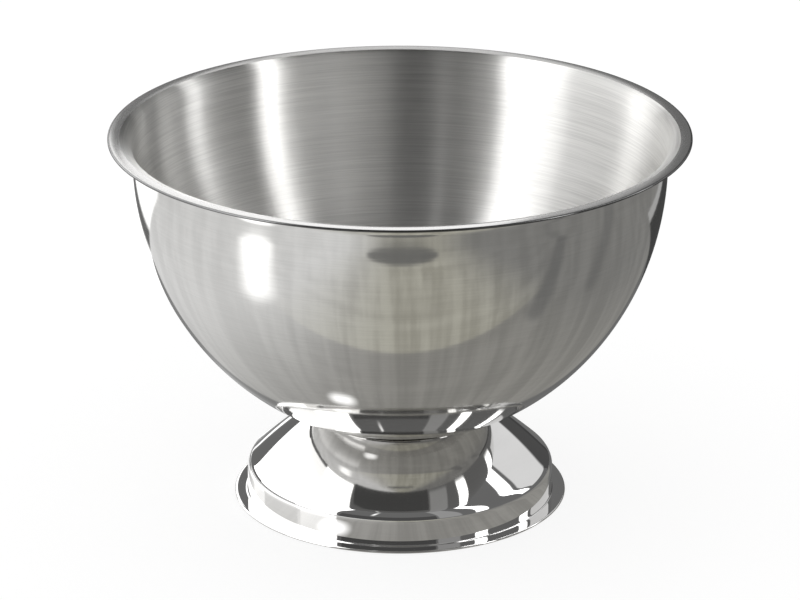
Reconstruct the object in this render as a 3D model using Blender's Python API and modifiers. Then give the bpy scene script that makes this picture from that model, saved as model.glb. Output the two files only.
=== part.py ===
"""A footed punch bowl: a deep spun bowl with a hemmed lip, spot-welded to a hollow spun foot.

Metres, +Z up. The origin is the centre of the footprint, on the surface that the bowl stands on.
"""

import math

import bmesh
import bpy

# Driving dimensions
HEIGHT = 0.2506
LIP_RADIUS = 0.190
SHEET = 0.0007
HEM_GAP = 0.0002
CONTACT_GAP = 0.0003
TURN_STEPS = 56

# Bowl: half an ellipse down from its widest level, flattened at the bottom
BOWL_RADIUS = 0.1743
BOWL_SEMI_HEIGHT = 0.1865
WIDEST_BELOW_LIP = 0.0173
BOWL_BASE = 0.0588
BASE_BLEND = 0.012
BOWL_RINGS = 14
LIP_FLARE = 0.0080
LIP_RISE = 0.0017
LIP_CREST_RADIUS = 0.1858
LIP_CREST_BEND = 0.045
LIP_UNDERLAP = 0.0050

# Foot: a flange, an upright wall, a rounded shoulder and a slightly crowned cone up to a flat land
FLANGE_RADIUS = 0.1104
WALL_RADIUS = 0.1018
SHOULDER_HEIGHT = 0.0214
SHOULDER_BEND = 0.0085
CROWN_RADIUS = 0.0790
CROWN_HEIGHT = 0.0417
CROWN_BEND = 0.350
LAND_CORNER_RADIUS = 0.0570
LAND_BEND = 0.0050
LAND_HOLE_RADIUS = 0.0250
FLANGE_BEND = 0.0012
FLANGE_UNDERLAP = 0.0050

# Spot welds between the land and the bottom of the bowl
WELD_COUNT = 6
WELD_RADIUS = 0.0025
WELD_THICKNESS = 0.0006
WELD_CIRCLE_RADIUS = 0.0400

# Facets: the turn between the flats of a tight fold and of an open bend
TIGHT_BEND = 0.002
TIGHT_TURN = math.radians(30)
OPEN_TURN = math.radians(15)
SHARP_ANGLE = math.radians(40)


def clear_scene():
    for obj in list(bpy.data.objects):
        bpy.data.objects.remove(obj)


def make_collection(name):
    collection = bpy.data.collections.new(name)
    bpy.context.scene.collection.children.link(collection)
    return collection


def make_material(name, colour, roughness):
    material = bpy.data.materials.new(name)
    material.use_nodes = True
    shader = material.node_tree.nodes["Principled BSDF"]
    shader.inputs["Base Color"].default_value = (*colour, 1.0)
    shader.inputs["Metallic"].default_value = 1.0
    shader.inputs["Roughness"].default_value = roughness
    return material


def bent_path(corners):
    """Points of a folded sheet's middle line: (radius, height) corners, each rounded by its bend radius."""
    points = [corners[0][:2]]
    for before, corner, after in zip(corners, corners[1:], corners[2:]):
        points += rounded_corner(before, corner, after)
    points.append(corners[-1][:2])
    return points


def rounded_corner(before, corner, after):
    """Points of the arc that touches both straight stretches at a corner."""
    start_heading = math.atan2(corner[1] - before[1], corner[0] - before[0])
    end_heading = math.atan2(after[1] - corner[1], after[0] - corner[0])
    turn = math.remainder(end_heading - start_heading, math.tau)
    bend = corner[2]
    setback = bend * math.tan(abs(turn) / 2)
    side = math.copysign(1.0, turn)
    start = (
        corner[0] - setback * math.cos(start_heading),
        corner[1] - setback * math.sin(start_heading),
    )
    centre = (
        start[0] - side * bend * math.sin(start_heading),
        start[1] + side * bend * math.cos(start_heading),
    )
    facet_turn = TIGHT_TURN if bend < TIGHT_BEND else OPEN_TURN
    steps = max(2, round(abs(turn) / facet_turn))
    arc = []
    for step in range(steps + 1):
        heading = start_heading + turn * step / steps
        arc.append(
            (
                centre[0] + side * bend * math.sin(heading),
                centre[1] - side * bend * math.cos(heading),
            )
        )
    return arc


def smooth_maximum(first, second, blend):
    """The larger of two values, with the step between them rounded over a height of blend."""
    share = min(1.0, max(0.0, 0.5 + (second - first) / (2 * blend)))
    return first + (second - first) * share + blend * share * (1 - share)


def bowl_wall():
    """Middle line of the bowl from the centre of its base up to its widest level."""
    base = BOWL_BASE + SHEET / 2
    widest = HEIGHT - WIDEST_BELOW_LIP
    points = []
    for ring in range(BOWL_RINGS):
        angle = (math.pi / 2) * ring / (BOWL_RINGS - 1)
        ellipse = widest - BOWL_SEMI_HEIGHT * math.cos(angle)
        points.append((BOWL_RADIUS * math.sin(angle), smooth_maximum(ellipse, base, BASE_BLEND)))
    return points


def hem(outer_radius, upper, lower, underlap):
    """Corners of a sheet's edge folded back on itself, from its upper layer to its lower one."""
    fold = (upper - lower) / 2
    middle_radius = outer_radius - SHEET / 2
    return [
        (middle_radius, upper, fold),
        (middle_radius, lower, fold),
        (outer_radius - underlap, lower, 0.0),
    ]


def bowl_lip():
    """Middle line from the widest level, out over the flare and the low crest, to the end of the hem."""
    upper = HEIGHT - SHEET / 2
    lower = upper - SHEET - HEM_GAP
    corners = [
        (BOWL_RADIUS, HEIGHT - WIDEST_BELOW_LIP, 0.0),
        (BOWL_RADIUS, upper - LIP_RISE, LIP_FLARE),
        (LIP_CREST_RADIUS, upper, LIP_CREST_BEND),
    ]
    return bent_path(corners + hem(LIP_RADIUS, upper, lower, LIP_UNDERLAP))


def foot_path():
    """Middle line from the land's hole, down the cone and the wall, to the end of the flange's hem."""
    land = BOWL_BASE - 2 * CONTACT_GAP - WELD_THICKNESS - SHEET / 2
    lower = SHEET / 2
    upper = lower + SHEET + HEM_GAP
    wall = WALL_RADIUS - SHEET / 2
    corners = [
        (LAND_HOLE_RADIUS, land, 0.0),
        (LAND_CORNER_RADIUS, land, LAND_BEND),
        (CROWN_RADIUS, CROWN_HEIGHT, CROWN_BEND),
        (wall, SHOULDER_HEIGHT, SHOULDER_BEND),
        (wall, upper, FLANGE_BEND),
    ]
    return bent_path(corners + hem(FLANGE_RADIUS, upper, lower, FLANGE_UNDERLAP))


def spun_sheet(name, path, material, collection):
    """Turns a middle line round Z and gives it the sheet's thickness."""
    mesh = bpy.data.meshes.new(name)
    vertices = [(radius, 0.0, height) for radius, height in path]
    edges = [(index, index + 1) for index in range(len(path) - 1)]
    mesh.from_pydata(vertices, edges, [])
    mesh.materials.append(material)
    obj = bpy.data.objects.new(name, mesh)
    collection.objects.link(obj)

    turn = obj.modifiers.new("turn", "SCREW")
    turn.axis = "Z"
    turn.steps = TURN_STEPS
    turn.render_steps = TURN_STEPS
    turn.use_merge_vertices = True
    turn.merge_threshold = 0.00001
    turn.use_normal_calculate = True
    turn.use_smooth_shade = True

    thicken = obj.modifiers.new("sheet thickness", "SOLIDIFY")
    thicken.thickness = SHEET
    thicken.offset = 0.0
    thicken.use_even_offset = True
    return obj


def weld_nugget(number, material, collection):
    """One fused disc between the two sheets."""
    angle = math.tau * number / WELD_COUNT
    name = f"spot_weld_{number + 1}"
    mesh = bpy.data.meshes.new(name)
    shape = bmesh.new()
    bmesh.ops.create_cone(
        shape,
        cap_ends=True,
        segments=24,
        radius1=WELD_RADIUS,
        radius2=WELD_RADIUS,
        depth=WELD_THICKNESS,
    )
    shape.to_mesh(mesh)
    shape.free()
    mesh.materials.append(material)
    mesh.shade_smooth()
    mesh.set_sharp_from_angle(angle=SHARP_ANGLE)
    obj = bpy.data.objects.new(name, mesh)
    obj.location = (
        WELD_CIRCLE_RADIUS * math.cos(angle),
        WELD_CIRCLE_RADIUS * math.sin(angle),
        BOWL_BASE - CONTACT_GAP - WELD_THICKNESS / 2,
    )
    collection.objects.link(obj)
    return obj


def main():
    clear_scene()
    parts = make_collection("punch_bowl")
    satin = make_material("satin_steel", (0.62, 0.61, 0.59), 0.32)
    polished = make_material("polished_steel", (0.72, 0.71, 0.70), 0.06)
    weld_metal = make_material("weld_metal", (0.40, 0.38, 0.36), 0.50)

    spun_sheet("bowl", bowl_wall() + bowl_lip()[1:], satin, parts)
    spun_sheet("pedestal_foot", foot_path(), polished, parts)
    for number in range(WELD_COUNT):
        weld_nugget(number, weld_metal, parts)


main()
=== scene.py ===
"""Looks of the footed punch bowl: fine spun sheets, brushed and polished steel, and what they reflect.

Metres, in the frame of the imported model: +Z up, the bowl's axis on Z, standing on z = 0.
Azimuths are in degrees, seen from above: 0 points from the axis to the camera, and they grow
to the camera's right. Elevations are in degrees above the ground.
"""

import math

import bmesh
import bpy
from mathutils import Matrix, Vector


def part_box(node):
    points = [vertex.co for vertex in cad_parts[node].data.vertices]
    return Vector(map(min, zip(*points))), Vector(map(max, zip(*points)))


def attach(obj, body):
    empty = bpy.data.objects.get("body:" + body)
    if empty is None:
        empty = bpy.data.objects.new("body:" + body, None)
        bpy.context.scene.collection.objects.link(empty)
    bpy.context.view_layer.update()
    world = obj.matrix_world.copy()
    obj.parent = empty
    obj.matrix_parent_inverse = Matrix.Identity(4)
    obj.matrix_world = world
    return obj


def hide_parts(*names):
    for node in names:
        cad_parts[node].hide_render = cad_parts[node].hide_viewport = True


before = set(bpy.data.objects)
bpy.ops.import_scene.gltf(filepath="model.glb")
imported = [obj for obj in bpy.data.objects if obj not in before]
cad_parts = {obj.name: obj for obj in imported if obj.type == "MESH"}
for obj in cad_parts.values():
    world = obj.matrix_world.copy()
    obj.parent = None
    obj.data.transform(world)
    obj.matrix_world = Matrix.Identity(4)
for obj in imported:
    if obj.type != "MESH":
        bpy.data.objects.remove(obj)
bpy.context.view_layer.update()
scene = bpy.context.scene

# Overall sizes come from the frame
BOWL_LOW, BOWL_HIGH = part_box("bowl")
FOOT_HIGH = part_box("pedestal_foot")[1]
HEIGHT = BOWL_HIGH.z
LIP_RADIUS = BOWL_HIGH.x
BOWL_BASE = BOWL_LOW.z
FLANGE_RADIUS = FOOT_HIGH.x

# Both sheets
SHEET = 0.0007
HEM_GAP = 0.0002

# Bowl: half an ellipse down from its widest level, flattened at the bottom
BOWL_RADIUS = 0.1743
BOWL_SEMI_HEIGHT = 0.1865
WIDEST_BELOW_LIP = 0.0173
BASE_BLEND = 0.012
LIP_FLARE = 0.0080
LIP_RISE = 0.0017
LIP_CREST_RADIUS = 0.1858
LIP_CREST_BEND = 0.045
LIP_UNDERLAP = 0.0050

# Foot: a flange, an upright wall, a rounded shoulder and a slightly crowned cone up to a flat land
WALL_RADIUS = 0.1018
SHOULDER_HEIGHT = 0.0214
SHOULDER_BEND = 0.0085
CROWN_RADIUS = 0.0790
CROWN_HEIGHT = 0.0417
CROWN_BEND = 0.350
LAND_CORNER_RADIUS = 0.0570
LAND_BEND = 0.0050
LAND_HOLE_RADIUS = 0.0250
FLANGE_BEND = 0.0012
FLANGE_UNDERLAP = 0.0050

# Fineness of the turned meshes
TURN_STEPS = 288
BOWL_RINGS = 96
FACET_TURN = math.radians(6)
FACET_LENGTH = 0.0015

# Where the lip's finish begins, the slopes that the rim is shaded with in place of its own, and the painted
# shade along the lip's outer edge
LIP_FINISH_DEPTH = 0.0060
LIP_FINISH_RADIUS = 0.1826
LIP_TILT_RADIUS = 0.090
RIM_SLOPE = 0.25
RIM_DEPTHS = (0.060, 0.095)
LARGEST_DROP = 0.9
# Painted shade on the lip's outer edge: full within 0.9 mm of it, fading out 1.5 mm in
EDGE_SHADE_SPAN = (0.0015, 0.0009)
EDGE_SHADE_COLOUR = (0.16, 0.16, 0.16, 1.0)

# Marks on the steel: clouds and scratches per metre, and a scratch's share of the noise it follows
CLOUD_SCALE = 16.0
SCRATCH_SCALE = 38.0
SCRATCH_WIDTH = 0.004

# Camera
CAMERA_PLACE = (0.0, -2.6764, 1.14159)
CAMERA_TILT = math.pi / 2 - 0.36006
CAMERA_LENS = 194.99

FLOOR_RADIUS = 30.0
FLOOR_DEPTH = 0.0002

# Surroundings that only reflections see
TABLE_DEPTH = 0.0004
DOME_RADIUS = 3.2
CARD_RADIUS = 2.4
CARD_COLUMNS = 24
CARD_ROWS = 12
DOME_LEVEL = 0.16

# The reflected table: places on its plan, x to the camera's right and y away from the camera
BEYOND_DARK = (0.37, 0.36, 0.31, 1.0)
BEYOND_LIGHT = (0.52, 0.51, 0.445, 1.0)
BOARD_EDGE = (-0.230, -0.236)
# Painted light on the left of the board, and painted shade on its right
LEFT_GLOW = (0.02, -0.34)
RIGHT_SHADE = (0.12, 0.42)
DARK_GREY = 0.15
# Dark streaks: start, end, reach at either end, feather, strength
DARK_STREAKS = (
    ((0.26, -0.190), (0.65, -0.310), (0.024, 0.028), 0.014, 0.6),
    ((0.65, -0.310), (0.73, -0.50), (0.028, 0.020), 0.018, 0.4),
    ((0.38, -0.060), (0.80, 0.000), (0.020, 0.040), 0.020, 0.5),
)
# Dark oval: centre, half sizes, feather
DARK_OVAL = ((0.013, -0.727), (0.17, 0.11), 0.08)
# Bright patches: start, end, reach at either end, feather
GLARE = ((-0.340, -0.232), (-0.59, -0.390), (0.042, 0.085), 0.040)
SPILL = ((-0.067, -0.108), (-0.060, -0.110), (0.010, 0.010), 0.008)
# Behind the bowl: the direction across the edges of the shade, and the x over which left turns to right
SHADE_ACROSS = (0.85, 0.53)
HALVES = (0.16, -0.16)
FAR_START = (0.31, 0.33)
DISTANT_START = (0.75, 1.05)

# Cards round the object: name, azimuths, elevations, brightness, feather, lean at the top in degrees
CARDS = (
    ("box_front_left", (-81.0, -44.5), (0.0, 64.0), 3.2, 0.03, -6.0),
    ("wall_left_front", (-122.0, -79.0), (4.0, 64.0), 1.65, 0.002, 0.0),
    ("box_left", (-143.0, -121.5), (9.0, 64.0), 3.2, 0.01, 0.0),
    ("wall_left_back", (-174.5, -142.5), (12.5, 24.2), 1.7, 0.002, 0.0),
    ("wall_left_back_high", (-170.0, -142.5), (24.0, 64.0), 2.2, 0.002, 0.0),
    ("thin_light", (-24.0, -19.0), (26.3, 64.0), 1.5, 0.25, 0.0),
    ("bounce_right", (27.0, 46.0), (0.0, 64.0), 0.35, 0.05, 0.0),
    ("box_front_right", (54.5, 66.5), (0.0, 64.0), 4.0, 0.08, 6.0),
    ("box_right", (98.0, 110.0), (5.0, 64.0), 3.8, 0.10, 4.0),
    ("wall_right_back", (114.0, 152.0), (13.0, 64.0), 0.8, 0.02, 0.0),
    ("wall_behind_low", (177.5, 185.5), (8.0, 22.0), 1.20, 0.02, 0.0),
    ("wall_behind_low_right", (174.0, 177.5), (8.0, 19.5), 0.45, 0.02, 0.0),
    ("wall_behind", (176.5, 183.0), (21.0, 24.0), 0.80, 0.10, 0.0),
    ("wall_behind_high", (176.8, 183.2), (28.0, 38.0), 0.80, 0.10, 0.0),
    ("panel_right_back", (140.0, 176.0), (-1.0, 13.0), 0.08, 0.002, 0.0),
    ("panel_front", (-44.0, 26.5), (-1.0, 26.0), 0.08, 0.002, 0.0),
)


# Node graphs

class Graph:
    """Short calls for the nodes of one material or world."""

    def __init__(self, tree):
        self.tree = tree

    def node(self, kind, inputs=None, **settings):
        """Adds a node, sets its properties and its inputs, and returns it."""
        made = self.tree.nodes.new(kind)
        for name, value in settings.items():
            setattr(made, name, value)
        for key, value in (inputs or {}).items():
            if isinstance(value, bpy.types.NodeSocket):
                self.tree.links.new(value, made.inputs[key])
            else:
                made.inputs[key].default_value = value
        return made

    def math(self, operation, first, second=0.0, third=0.0):
        return self.node("ShaderNodeMath", {0: first, 1: second, 2: third}, operation=operation).outputs[0]

    def length(self, x, y):
        """The length of the flat vector (x, y)."""
        return self.math("SQRT", self.math("ADD", self.math("MULTIPLY", x, x), self.math("MULTIPLY", y, y)))

    def noise(self, vector, scale, detail=3.0, roughness=0.5):
        made = self.node(
            "ShaderNodeTexNoise",
            {"Vector": vector, "Scale": scale, "Detail": detail, "Roughness": roughness},
        )
        return made.outputs["Fac"]

    def smooth_step(self, value, start, end, low=0.0, high=1.0):
        """Goes smoothly from low to high while value goes from start to end."""
        made = self.node(
            "ShaderNodeMapRange",
            {"Value": value, "From Min": start, "From Max": end, "To Min": low, "To Max": high},
            interpolation_type="SMOOTHSTEP",
        )
        return made.outputs["Result"]

    def spread(self, value, low, high):
        """Maps 0..1 to low..high in a straight line."""
        made = self.node("ShaderNodeMapRange", {"Value": value, "To Min": low, "To Max": high})
        return made.outputs["Result"]

    def blend(self, share, first, second):
        """Mixes two colours."""
        made = self.node("ShaderNodeMix", data_type="RGBA")
        for socket, value in ((0, share), (6, first), (7, second)):
            if isinstance(value, bpy.types.NodeSocket):
                self.tree.links.new(value, made.inputs[socket])
            else:
                made.inputs[socket].default_value = value
        return made.outputs[2]

    def link(self, start, end):
        self.tree.links.new(start, end)


def new_material(name):
    material = bpy.data.materials.new(name)
    material.use_nodes = True
    return material, Graph(material.node_tree)


def polar_position(graph):
    """Position in the object, its height, its distance from the axis and the unit direction from there."""
    place = graph.node("ShaderNodeTexCoord").outputs["Object"]
    split = graph.node("ShaderNodeSeparateXYZ", {0: place})
    x, y, z = split.outputs
    radius = graph.length(x, y)
    safe = graph.math("MAXIMUM", radius, 0.001)
    return place, z, radius, graph.math("DIVIDE", x, safe), graph.math("DIVIDE", y, safe)


def brush_vector(graph, lines_per_metre, waves_around):
    """Coordinates stretched round the axis, so that noise on them looks like brushing lines."""
    _, z, radius, east, north = polar_position(graph)
    along = graph.math("MULTIPLY", graph.math("ADD", radius, z), lines_per_metre)
    around_x = graph.math("MULTIPLY", east, waves_around)
    around_y = graph.math("MULTIPLY", north, waves_around)
    return graph.node("ShaderNodeCombineXYZ", {0: around_x, 1: around_y, 2: along}).outputs[0]


def hairlines(graph, place, scale, width, share):
    """A mask of thin curved scratches in scattered patches."""
    field = graph.math("ABSOLUTE", graph.math("SUBTRACT", graph.noise(place, scale, 1.0), 0.5))
    line = graph.smooth_step(field, 0.0, width, 1.0, 0.0)
    patch = graph.smooth_step(graph.noise(place, scale * 0.6, 0.0), 1.0 - share, 1.08 - share)
    return graph.math("MULTIPLY", line, patch)


def steel(
    name,
    colour,
    roughness,
    anisotropy,
    line_bump,
    line_depth,
    tint_range,
    smudge,
    scratch,
    lines=(900.0, 320.0),
):
    """Stainless steel brushed round the axis, with colour variation, smudges and scratches.

    lines are the fine and the broad brushing lines in a metre, and scratch is the share of the
    surface that has scratches.
    """
    material, graph = new_material(name)
    shader = material.node_tree.nodes["Principled BSDF"]
    place = polar_position(graph)[0]
    fine = graph.noise(brush_vector(graph, lines[0], 3.0), 1.0, 3.0, 0.6)
    broad = graph.noise(brush_vector(graph, lines[1], 2.5), 1.0, 2.0, 0.5)
    brushing = graph.math("ADD", graph.math("MULTIPLY", fine, 0.6), graph.math("MULTIPLY", broad, 0.4))
    cloud = graph.noise(place, CLOUD_SCALE, 4.0, 0.55)
    scratches = hairlines(graph, place, SCRATCH_SCALE, SCRATCH_WIDTH, scratch)

    dark = tuple(channel * (1.0 - tint_range) for channel in colour) + (1.0,)
    light = tuple(min(1.0, channel * (1.0 + tint_range)) for channel in colour) + (1.0,)
    tone = graph.blend(graph.smooth_step(brushing, 0.3, 0.7), dark, light)
    graph.link(tone, shader.inputs["Base Color"])

    grain = graph.spread(brushing, roughness * 0.75, roughness * 1.25)
    clouded = graph.math("ADD", grain, graph.spread(cloud, -smudge, smudge))
    rough = graph.math("ADD", clouded, graph.math("MULTIPLY", scratches, 0.15))
    graph.link(rough, shader.inputs["Roughness"])

    height = graph.math("SUBTRACT", brushing, graph.math("MULTIPLY", scratches, 0.6))
    bump = graph.node("ShaderNodeBump", {"Strength": line_bump, "Distance": line_depth, "Height": height})
    graph.link(bump.outputs["Normal"], shader.inputs["Normal"])

    tangent = graph.node("ShaderNodeTangent", direction_type="RADIAL", axis="Z")
    graph.link(tangent.outputs["Tangent"], shader.inputs["Tangent"])
    shader.inputs["Metallic"].default_value = 1.0
    shader.inputs["Anisotropic"].default_value = anisotropy
    shader.inputs["Anisotropic Rotation"].default_value = 0.25
    return material


def tilt_lip(material):
    """Shades the lip as if it kept its inward slope out to the hem, and paints shade along its outermost
    edge.
    """
    graph = Graph(material.node_tree)
    shader = material.node_tree.nodes["Principled BSDF"]
    brushed = shader.inputs["Normal"].links[0].from_socket
    radius = polar_position(graph)[2]
    beyond = graph.math("MAXIMUM", graph.math("SUBTRACT", radius, LIP_FINISH_RADIUS), 0.0)
    rise = graph.math("DIVIDE", graph.math("MULTIPLY", beyond, beyond), 2.0 * LIP_TILT_RADIUS)
    inputs = {"Strength": 1.0, "Distance": 1.0, "Height": rise, "Normal": brushed}
    bump = graph.node("ShaderNodeBump", inputs)
    graph.link(bump.outputs["Normal"], shader.inputs["Normal"])
    tone = shader.inputs["Base Color"].links[0].from_socket
    # Painted shade: a dark line along the lip's outer edge, laid over the steel's tone
    edge = graph.smooth_step(radius, LIP_RADIUS - EDGE_SHADE_SPAN[0], LIP_RADIUS - EDGE_SHADE_SPAN[1])
    graph.link(graph.blend(edge, tone, EDGE_SHADE_COLOUR), shader.inputs["Base Color"])


def straighten_rim(material):
    """Shades the inside as if its wall kept a slope up to the lip.

    The mesh itself stands nearly upright there and then flares: only the shading differs.
    """
    graph = Graph(material.node_tree)
    _, z, _, east, north = polar_position(graph)
    depth = graph.math("SUBTRACT", HEIGHT, z)
    below = graph.math("MAXIMUM", graph.math("SUBTRACT", depth, WIDEST_BELOW_LIP), 0.0)
    drop = graph.math("MINIMUM", graph.math("DIVIDE", below, BOWL_SEMI_HEIGHT), LARGEST_DROP)
    square = graph.math("MULTIPLY", drop, drop)
    wall_slope = graph.math("DIVIDE", square, graph.math("SUBTRACT", 1.0, square))
    slope = graph.math("SQRT", graph.math("ADD", wall_slope, RIM_SLOPE * RIM_SLOPE))
    inward_x = graph.math("MULTIPLY", east, -1.0)
    inward_y = graph.math("MULTIPLY", north, -1.0)
    sloping = graph.node("ShaderNodeCombineXYZ", {0: inward_x, 1: inward_y, 2: slope}).outputs[0]
    eased = graph.node("ShaderNodeVectorMath", {0: sloping}, operation="NORMALIZE").outputs[0]
    turned = graph.node("ShaderNodeNewGeometry").outputs["Normal"]
    share = graph.smooth_step(depth, *RIM_DEPTHS)
    mixed = graph.node("ShaderNodeMix", {0: share, 4: eased, 5: turned}, data_type="VECTOR")
    bump = material.node_tree.nodes["Bump"]
    graph.link(mixed.outputs[1], bump.inputs["Normal"])


def weld_metal():
    """Matt grey fused metal with a straw and blue heat tint round each nugget."""
    material, graph = new_material("weld_metal")
    shader = material.node_tree.nodes["Principled BSDF"]
    place = graph.node("ShaderNodeTexCoord").outputs["Object"]
    mottle = graph.noise(place, 900.0, 4.0, 0.6)
    tint = graph.noise(place, 260.0, 1.0)
    straw = (0.42, 0.35, 0.24, 1.0)
    blue = (0.30, 0.33, 0.40, 1.0)
    tinted = graph.blend(graph.smooth_step(tint, 0.4, 0.6), straw, blue)
    tone = graph.blend(graph.smooth_step(mottle, 0.35, 0.65), tinted, (0.45, 0.44, 0.43, 1.0))
    graph.link(tone, shader.inputs["Base Color"])
    graph.link(graph.spread(mottle, 0.35, 0.65), shader.inputs["Roughness"])
    bump = graph.node("ShaderNodeBump", {"Strength": 0.4, "Distance": 0.0001, "Height": mottle})
    graph.link(bump.outputs["Normal"], shader.inputs["Normal"])
    shader.inputs["Metallic"].default_value = 1.0
    return material


# Turned sheets

def bent_path(corners):
    """Points of a folded sheet's middle line: (radius, height) corners, each rounded by its bend radius."""
    points = [corners[0][:2]]
    for before, corner, after in zip(corners, corners[1:], corners[2:]):
        points += rounded_corner(before, corner, after)
    points.append(corners[-1][:2])
    return points


def rounded_corner(before, corner, after):
    """Points of the arc that touches both straight stretches at a corner."""
    start_heading = math.atan2(corner[1] - before[1], corner[0] - before[0])
    end_heading = math.atan2(after[1] - corner[1], after[0] - corner[0])
    turn = math.remainder(end_heading - start_heading, math.tau)
    bend = corner[2]
    setback = bend * math.tan(abs(turn) / 2)
    side = math.copysign(1.0, turn)
    start = (
        corner[0] - setback * math.cos(start_heading),
        corner[1] - setback * math.sin(start_heading),
    )
    centre = (
        start[0] - side * bend * math.sin(start_heading),
        start[1] + side * bend * math.cos(start_heading),
    )
    steps = max(3, round(abs(turn) / FACET_TURN), round(bend * abs(turn) / FACET_LENGTH))
    arc = []
    for step in range(steps + 1):
        heading = start_heading + turn * step / steps
        arc.append(
            (
                centre[0] + side * bend * math.sin(heading),
                centre[1] - side * bend * math.cos(heading),
            )
        )
    return arc


def divided(path):
    """The same path with its long straight stretches cut into short ones."""
    points = [path[0]]
    for start, end in zip(path, path[1:]):
        pieces = max(1, math.ceil(math.dist(start, end) / FACET_LENGTH))
        for piece in range(1, pieces + 1):
            share = piece / pieces
            points.append((start[0] + (end[0] - start[0]) * share, start[1] + (end[1] - start[1]) * share))
    return points


def smooth_maximum(first, second, blend):
    """The larger of two values, with the step between them rounded over a height of blend."""
    share = min(1.0, max(0.0, 0.5 + (second - first) / (2 * blend)))
    return first + (second - first) * share + blend * share * (1 - share)


def bowl_wall():
    """Middle line of the bowl from the centre of its base up to its widest level."""
    base = BOWL_BASE + SHEET / 2
    widest = HEIGHT - WIDEST_BELOW_LIP
    points = []
    for ring in range(BOWL_RINGS):
        angle = (math.pi / 2) * ring / (BOWL_RINGS - 1)
        ellipse = widest - BOWL_SEMI_HEIGHT * math.cos(angle)
        points.append((BOWL_RADIUS * math.sin(angle), smooth_maximum(ellipse, base, BASE_BLEND)))
    return points


def hem(outer_radius, upper, lower, underlap):
    """Corners of a sheet's edge folded back on itself, from its upper layer to its lower one."""
    fold = (upper - lower) / 2
    middle_radius = outer_radius - SHEET / 2
    return [
        (middle_radius, upper, fold),
        (middle_radius, lower, fold),
        (outer_radius - underlap, lower, 0.0),
    ]


def bowl_lip():
    """Middle line from the widest level, out over the flare and the low crest, to the end of the hem."""
    upper = HEIGHT - SHEET / 2
    lower = upper - SHEET - HEM_GAP
    corners = [
        (BOWL_RADIUS, HEIGHT - WIDEST_BELOW_LIP, 0.0),
        (BOWL_RADIUS, upper - LIP_RISE, LIP_FLARE),
        (LIP_CREST_RADIUS, upper, LIP_CREST_BEND),
    ]
    return bent_path(corners + hem(LIP_RADIUS, upper, lower, LIP_UNDERLAP))


def foot_path():
    """Middle line from the land's hole, down the cone and the wall, to the end of the flange's hem."""
    land = FOOT_HIGH.z - SHEET / 2
    lower = SHEET / 2
    upper = lower + SHEET + HEM_GAP
    wall = WALL_RADIUS - SHEET / 2
    corners = [
        (LAND_HOLE_RADIUS, land, 0.0),
        (LAND_CORNER_RADIUS, land, LAND_BEND),
        (CROWN_RADIUS, CROWN_HEIGHT, CROWN_BEND),
        (wall, SHOULDER_HEIGHT, SHOULDER_BEND),
        (wall, upper, FLANGE_BEND),
    ]
    return bent_path(corners + hem(FLANGE_RADIUS, upper, lower, FLANGE_UNDERLAP))


def spun_sheet(name, path):
    """A closed mesh of the sheet turned round Z, smooth all over."""
    line = bpy.data.meshes.new(name + "_line")
    vertices = [(radius, 0.0, height) for radius, height in path]
    line.from_pydata(vertices, [(index, index + 1) for index in range(len(path) - 1)], [])
    obj = bpy.data.objects.new(name, line)
    scene.collection.objects.link(obj)
    turn = obj.modifiers.new("turn", "SCREW")
    turn.steps = TURN_STEPS
    turn.render_steps = TURN_STEPS
    turn.use_merge_vertices = True
    turn.merge_threshold = 0.00001
    turn.use_normal_calculate = True
    turn.use_smooth_shade = True
    thicken = obj.modifiers.new("sheet thickness", "SOLIDIFY")
    thicken.thickness = SHEET
    thicken.offset = 0.0
    thicken.use_even_offset = True
    solid = bpy.data.meshes.new_from_object(obj.evaluated_get(bpy.context.evaluated_depsgraph_get()))
    obj.modifiers.clear()
    obj.data = solid
    solid.name = name
    bpy.data.meshes.remove(line)
    return obj


def finish_zones(obj, materials, zone_of):
    """Gives each face the material of its zone."""
    for material in materials:
        obj.data.materials.append(material)
    for face in obj.data.polygons:
        face.material_index = zone_of(face.center, face.normal)


def bowl_zone(centre, normal):
    """0 inside, 1 outside, 2 on the lip."""
    if centre.z > HEIGHT - LIP_FINISH_DEPTH and math.hypot(centre.x, centre.y) > LIP_FINISH_RADIUS:
        return 2
    inward = normal.z * centre.length - (normal.x * centre.x + normal.y * centre.y)
    return 0 if inward > 0 else 1


def foot_zone(centre, normal):
    """0 on the polished outside, 1 on the unpolished underside."""
    outward = normal.x * centre.x + normal.y * centre.y + normal.z * centre.length
    return 0 if outward > 0 else 1


def brushed_inside():
    """The bowl's inside: strong lines round the axis that stretch every light into an upright streak."""
    material = steel(
        "brushed_inside",
        (0.70, 0.695, 0.68),
        roughness=0.32,
        anisotropy=1.0,
        line_bump=0.50,
        line_depth=0.000014,
        tint_range=0.13,
        smudge=0.02,
        scratch=0.30,
        lines=(2200.0, 700.0),
    )
    straighten_rim(material)
    return material


def satin_outside():
    """The bowl's outside: a blurred mirror with faint lines."""
    return steel(
        "satin_outside",
        (0.72, 0.715, 0.70),
        roughness=0.075,
        anisotropy=0.5,
        line_bump=0.08,
        line_depth=0.00002,
        tint_range=0.03,
        smudge=0.015,
        scratch=0.25,
    )


def polished_lip():
    """The bowl's lip, smoother than its inside."""
    material = steel(
        "polished_lip",
        (0.74, 0.735, 0.725),
        roughness=0.13,
        anisotropy=0.5,
        line_bump=0.05,
        line_depth=0.00002,
        tint_range=0.03,
        smudge=0.01,
        scratch=0.2,
    )
    tilt_lip(material)
    return material


def polished_foot():
    """The foot's outside: a mirror."""
    return steel(
        "polished_foot",
        (0.80, 0.795, 0.79),
        roughness=0.025,
        anisotropy=0.0,
        line_bump=0.02,
        line_depth=0.00002,
        tint_range=0.02,
        smudge=0.01,
        scratch=0.2,
    )


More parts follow.
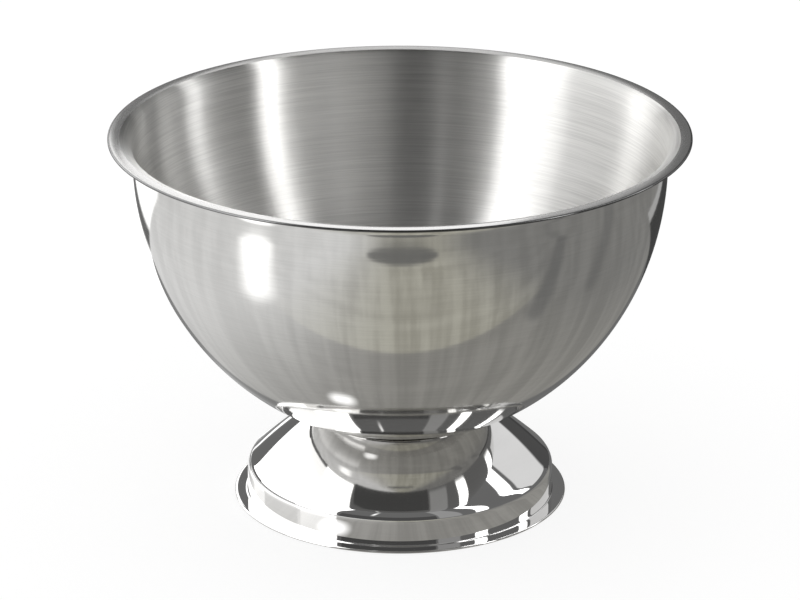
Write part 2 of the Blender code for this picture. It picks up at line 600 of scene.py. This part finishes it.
def dull_underside():
    """The foot's inside, left as it was spun."""
    return steel(
        "dull_underside",
        (0.60, 0.595, 0.58),
        roughness=0.38,
        anisotropy=0.4,
        line_bump=0.30,
        line_depth=0.00005,
        tint_range=0.08,
        smudge=0.05,
        scratch=0.3,
    )


def build_bowl():
    bowl = spun_sheet("bowl_shell", divided(bowl_wall() + bowl_lip()[1:]))
    finish_zones(bowl, (brushed_inside(), satin_outside(), polished_lip()), bowl_zone)
    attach(bowl, "root")
    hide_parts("bowl")


def build_foot():
    foot = spun_sheet("foot_shell", divided(foot_path()))
    finish_zones(foot, (polished_foot(), dull_underside()), foot_zone)
    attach(foot, "root")
    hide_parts("pedestal_foot")


def finish_welds():
    """The CAD's weld nuggets stay, with a better material."""
    nugget = weld_metal()
    for name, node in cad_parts.items():
        if name.startswith("spot_weld"):
            node.data.materials.clear()
            node.data.materials.append(nugget)


# Studio

def reflections_only(obj):
    """The object shows in reflections and nowhere else."""
    obj.visible_camera = False
    obj.visible_diffuse = False
    obj.visible_shadow = False
    obj.visible_transmission = False
    obj.visible_volume_scatter = False


def add_mesh(name, shape):
    """Turns a bmesh into an object of the scene."""
    mesh = bpy.data.meshes.new(name)
    shape.to_mesh(mesh)
    shape.free()
    obj = bpy.data.objects.new(name, mesh)
    scene.collection.objects.link(obj)
    return obj


def add_disc(name, radius, depth):
    """A flat disc a little below the surface that the bowl stands on."""
    shape = bmesh.new()
    bmesh.ops.create_circle(shape, cap_ends=True, segments=96, radius=radius)
    disc = add_mesh(name, shape)
    disc.location.z = -depth
    return disc


def emitting_material(name, strength):
    """A material that only glows; returns it with its graph and its emission node."""
    material, graph = new_material(name)
    nodes = material.node_tree.nodes
    nodes.remove(nodes["Principled BSDF"])
    glow = graph.node("ShaderNodeEmission", {"Strength": strength})
    graph.link(glow.outputs[0], nodes["Material Output"].inputs["Surface"])
    return material, graph, glow


def make_floor():
    """The plain pale floor: mostly self-lit, so that only a faint soft shadow falls on it."""
    floor = add_disc("floor", FLOOR_RADIUS, FLOOR_DEPTH)
    material, graph = new_material("pale_floor")
    nodes = material.node_tree.nodes
    nodes.remove(nodes["Principled BSDF"])
    glow = graph.node("ShaderNodeEmission", {"Strength": 0.80})
    matt = graph.node("ShaderNodeBsdfDiffuse", {"Color": (0.22, 0.22, 0.22, 1.0)})
    both = graph.node("ShaderNodeAddShader", {0: glow.outputs[0], 1: matt.outputs[0]})
    graph.link(both.outputs[0], nodes["Material Output"].inputs["Surface"])
    floor.data.materials.append(material)
    floor.visible_glossy = False
    floor.visible_diffuse = False


def make_tabletop():
    """The table that the underside of the bowl and the foot reflect, in place of the pale floor: a glow
    with its light and shade painted in.
    """
    table = add_disc("reflected_table", DOME_RADIUS * 0.98, TABLE_DEPTH)
    material, graph, glow = emitting_material("reflected_table", 1.0)
    graph.link(table_tone(graph), glow.inputs["Color"])
    both = graph.node("ShaderNodeAddShader", {0: glow.outputs[0], 1: varnish(graph)})
    graph.link(both.outputs[0], material.node_tree.nodes["Material Output"].inputs["Surface"])
    table.data.materials.append(material)
    reflections_only(table)


def varnish(graph):
    """Gloss on the table close to the foot, on its left, that grows at grazing angles."""
    gloss = graph.node("ShaderNodeBsdfGlossy", {"Roughness": 0.08})
    dull = graph.node("ShaderNodeBsdfTransparent", {"Color": (0.0, 0.0, 0.0, 1.0)})
    facing = graph.node("ShaderNodeFresnel", {"IOR": 1.3}).outputs[0]
    grazing = graph.math("MAXIMUM", graph.math("MULTIPLY_ADD", facing, 4.5, -0.135), 0.0)
    place, _, radius, _, _ = polar_position(graph)
    x = graph.node("ShaderNodeSeparateXYZ", {0: place}).outputs[0]
    near = graph.math("MULTIPLY", graph.smooth_step(radius, 0.26, 0.18), graph.smooth_step(x, 0.03, -0.03))
    share = graph.math("MULTIPLY", grazing, near)
    return graph.node("ShaderNodeMixShader", {0: share, 1: dull.outputs[0], 2: gloss.outputs[0]}).outputs[0]


def azimuth_of(graph, x, y):
    """Degrees round the axis: 0 towards the camera, positive to its right."""
    turn = graph.math("ARCTAN2", x, graph.math("MULTIPLY", y, -1.0))
    return graph.math("MULTIPLY", turn, math.degrees(1.0))


def window(graph, value, start, end, feather):
    """1 while value is between start and end, with soft ends."""
    rise = graph.smooth_step(value, start - feather, start + feather)
    fall = graph.smooth_step(value, end - feather, end + feather, 1.0, 0.0)
    return graph.math("MULTIPLY", rise, fall)


def grey(level, warmth=0.0):
    """A grey of the given brightness, tinted slightly towards yellow by warmth."""
    return (level * (1.0 + warmth), level, level * (1.0 - 3.0 * warmth), 1.0)


def capsule(graph, x, y, start, end, reaches, feather):
    """1 along the line between two points of the plan, out to the reach at each end, with a soft edge."""
    span = (end[0] - start[0], end[1] - start[1])
    length = math.hypot(*span)
    east = graph.math("SUBTRACT", x, start[0])
    north = graph.math("SUBTRACT", y, start[1])
    along = graph.math(
        "ADD",
        graph.math("MULTIPLY", east, span[0] / length),
        graph.math("MULTIPLY", north, span[1] / length),
    )
    across = graph.math(
        "SUBTRACT",
        graph.math("MULTIPLY", east, span[1] / length),
        graph.math("MULTIPLY", north, span[0] / length),
    )
    nearest = graph.math("MINIMUM", graph.math("MAXIMUM", along, 0.0), length)
    beyond = graph.math("SUBTRACT", along, nearest)
    distance = graph.length(beyond, across)
    growth = (reaches[1] - reaches[0]) / length
    outside = graph.math("SUBTRACT", distance, graph.math("MULTIPLY_ADD", nearest, growth, reaches[0]))
    return graph.smooth_step(outside, feather, -feather)


def ellipse(graph, x, y, centre, half_sizes, feather):
    """1 inside an ellipse of the plan, with a soft edge."""
    east = graph.math("DIVIDE", graph.math("SUBTRACT", x, centre[0]), half_sizes[0])
    north = graph.math("DIVIDE", graph.math("SUBTRACT", y, centre[1]), half_sizes[1])
    distance = graph.length(east, north)
    return graph.smooth_step(distance, 1.0 + feather, 1.0 - feather)


def paint(graph, tone, mask, colour, share=1.0):
    """Lays a colour over a tone where the mask is 1."""
    return graph.blend(graph.math("MULTIPLY", mask, share), tone, colour)


def table_texture(graph, place, radius, azimuth):
    """0 to 1: streaks that point away from the axis, with a grain that runs from left to right."""
    turned = graph.math("MULTIPLY", azimuth, 0.16)
    outward = graph.math("MULTIPLY", radius, 1.3)
    spoke_place = graph.node("ShaderNodeCombineXYZ", {0: turned, 1: outward}).outputs[0]
    spokes = graph.noise(spoke_place, 1.0, 4.0, 0.6)
    grain_place = graph.node("ShaderNodeMapping", {"Vector": place, "Scale": (2.0, 22.0, 1.0)}).outputs[0]
    grain = graph.noise(grain_place, 1.0, 3.0, 0.5)
    return graph.smooth_step(graph.math("ADD", spokes, graph.math("MULTIPLY", grain, 0.5)), 0.6, 0.9)


def table_front(graph, x, y, texture):
    """The board that ends in front, with a painted glow on the left, painted shade on the right, and dark
    marks.
    """
    board = graph.blend(texture, grey(0.265, 0.02), grey(0.325, 0.02))
    beyond = graph.blend(texture, BEYOND_DARK, BEYOND_LIGHT)
    tone = graph.blend(graph.smooth_step(y, *BOARD_EDGE), board, beyond)
    left = graph.blend(texture, grey(0.76), grey(0.85))
    tone = paint(graph, tone, graph.smooth_step(x, *LEFT_GLOW), left)
    right = graph.blend(texture, grey(0.225, 0.01), grey(0.265, 0.01))
    tone = paint(graph, tone, graph.smooth_step(x, *RIGHT_SHADE), right)
    for start, end, reaches, feather, share in DARK_STREAKS:
        streak = capsule(graph, x, y, start, end, reaches, feather)
        tone = paint(graph, tone, streak, grey(DARK_GREY), share)
    return paint(graph, tone, ellipse(graph, x, y, *DARK_OVAL), grey(DARK_GREY), 0.9)


def table_behind(graph, x, y, radius, tone):
    """Shade on both sides behind the bowl, a bright far left, a dark far right, and distant darkness."""
    aside = graph.math("MULTIPLY", y, SHADE_ACROSS[1])
    back_left = graph.smooth_step(graph.math("MULTIPLY_ADD", x, SHADE_ACROSS[0], aside), -0.10, -0.09)
    aside = graph.math("MULTIPLY", y, -SHADE_ACROSS[1])
    back_right = graph.smooth_step(graph.math("MULTIPLY_ADD", x, SHADE_ACROSS[0], aside), 0.10, 0.09)
    behind = graph.smooth_step(y, -0.03, 0.01)
    left_half = graph.smooth_step(x, *HALVES)
    right_half = graph.math("SUBTRACT", 1.0, left_half)
    shade_left = graph.math("MULTIPLY", graph.math("MULTIPLY", back_left, behind), left_half)
    shade_right = graph.math("MULTIPLY", graph.math("MULTIPLY", back_right, behind), right_half)
    tone = paint(graph, tone, shade_left, grey(0.24))
    tone = paint(graph, tone, shade_right, grey(0.16))

    far = graph.smooth_step(y, *FAR_START)
    far_right = graph.math("MULTIPLY", far, right_half)
    stripe = window(graph, x, -0.42, -0.32, 0.02)
    strip = window(graph, x, 0.47, 0.54, 0.01)
    tone = paint(graph, tone, graph.math("MULTIPLY", far, left_half), grey(1.5))
    tone = paint(graph, tone, graph.math("MULTIPLY", far, stripe), grey(0.16))
    inner = graph.smooth_step(x, 0.48, 0.46)
    tone = paint(graph, tone, graph.math("MULTIPLY", far_right, inner), grey(0.06))
    tone = paint(graph, tone, graph.math("MULTIPLY", far_right, strip), grey(0.45))

    away = graph.smooth_step(radius, *DISTANT_START)
    distant = graph.math("MULTIPLY", away, graph.smooth_step(y, 0.08, 0.12))
    tone = paint(graph, tone, graph.math("MULTIPLY", distant, left_half), grey(0.20))
    return paint(graph, tone, graph.math("MULTIPLY", distant, right_half), grey(0.08))


def table_tone(graph):
    """Glow of the table by place: its own tone and grain, with painted light and painted shade laid over
    it.
    """
    place, _, radius, _, _ = polar_position(graph)
    x, y, _ = graph.node("ShaderNodeSeparateXYZ", {0: place}).outputs
    texture = table_texture(graph, place, radius, azimuth_of(graph, x, y))
    tone = table_front(graph, x, y, texture)
    tone = table_behind(graph, x, y, radius, tone)
    tone = paint(graph, tone, capsule(graph, x, y, *GLARE), grey(1.8))
    return paint(graph, tone, capsule(graph, x, y, *SPILL), grey(1.6))


def make_dome():
    """The dim room round the object."""
    shape = bmesh.new()
    bmesh.ops.create_uvsphere(shape, u_segments=64, v_segments=32, radius=DOME_RADIUS)
    dome = add_mesh("room_dome", shape)
    material, _, glow = emitting_material("room_dome", 1.0)
    glow.inputs["Color"].default_value = grey(DOME_LEVEL)
    dome.data.materials.append(material)
    reflections_only(dome)


def card_shape(azimuths, elevations, lean):
    """A patch of a sphere between two azimuths and two elevations, turned by lean at its top."""
    shape = bmesh.new()
    places = shape.loops.layers.uv.new("place")
    grid = []
    for row in range(CARD_ROWS + 1):
        elevation = math.radians(elevations[0] + (elevations[1] - elevations[0]) * row / CARD_ROWS)
        reach = CARD_RADIUS * math.cos(elevation)
        height = CARD_RADIUS * math.sin(elevation)
        ring = []
        for column in range(CARD_COLUMNS + 1):
            turn = azimuths[0] + (azimuths[1] - azimuths[0]) * column / CARD_COLUMNS
            azimuth = math.radians(turn + lean * row / CARD_ROWS)
            ring.append(shape.verts.new((reach * math.sin(azimuth), -reach * math.cos(azimuth), height)))
        grid.append(ring)
    for row in range(CARD_ROWS):
        for column in range(CARD_COLUMNS):
            corners = [(row, column), (row, column + 1), (row + 1, column + 1), (row + 1, column)]
            face = shape.faces.new([grid[i][j] for i, j in corners])
            for loop, (i, j) in zip(face.loops, corners):
                loop[places].uv = (j / CARD_COLUMNS, i / CARD_ROWS)
    return shape


def card_material(name, level, feather):
    """An even glow that fades out over the feather at all four edges."""
    material, graph, glow = emitting_material(name, level)
    place = graph.node("ShaderNodeUVMap", uv_map="place").outputs[0]
    split = graph.node("ShaderNodeSeparateXYZ", {0: place})
    across = window(graph, split.outputs[0], feather, 1.0 - feather, feather)
    upward = window(graph, split.outputs[1], feather, 1.0 - feather, feather)
    clear = graph.node("ShaderNodeBsdfTransparent")
    mask = graph.math("MULTIPLY", across, upward)
    mixed = graph.node("ShaderNodeMixShader", {0: mask, 1: clear.outputs[0], 2: glow.outputs[0]})
    graph.link(mixed.outputs[0], material.node_tree.nodes["Material Output"].inputs["Surface"])
    return material


def make_cards():
    """Bright boxes and walls, and dark panels."""
    for name, azimuths, elevations, level, feather, lean in CARDS:
        card = add_mesh(name, card_shape(azimuths, elevations, lean))
        card.data.materials.append(card_material(name, level, feather))
        reflections_only(card)


def make_world():
    world = bpy.data.worlds.new("studio")
    scene.world = world
    world.use_nodes = True
    background = world.node_tree.nodes["Background"]
    background.inputs["Color"].default_value = (1.0, 1.0, 1.0, 1.0)
    background.inputs["Strength"].default_value = 1.0


def make_camera():
    data = bpy.data.cameras.new("camera")
    data.sensor_width = 36.0
    data.lens = CAMERA_LENS
    data.clip_end = 100.0
    camera = bpy.data.objects.new("camera", data)
    camera.location = CAMERA_PLACE
    camera.rotation_euler = (CAMERA_TILT, 0.0, 0.0)
    scene.collection.objects.link(camera)
    scene.camera = camera


make_camera()
build_bowl()
build_foot()
finish_welds()
make_floor()
make_tabletop()
make_dome()
make_cards()
make_world()
scene.view_settings.view_transform = "Standard"
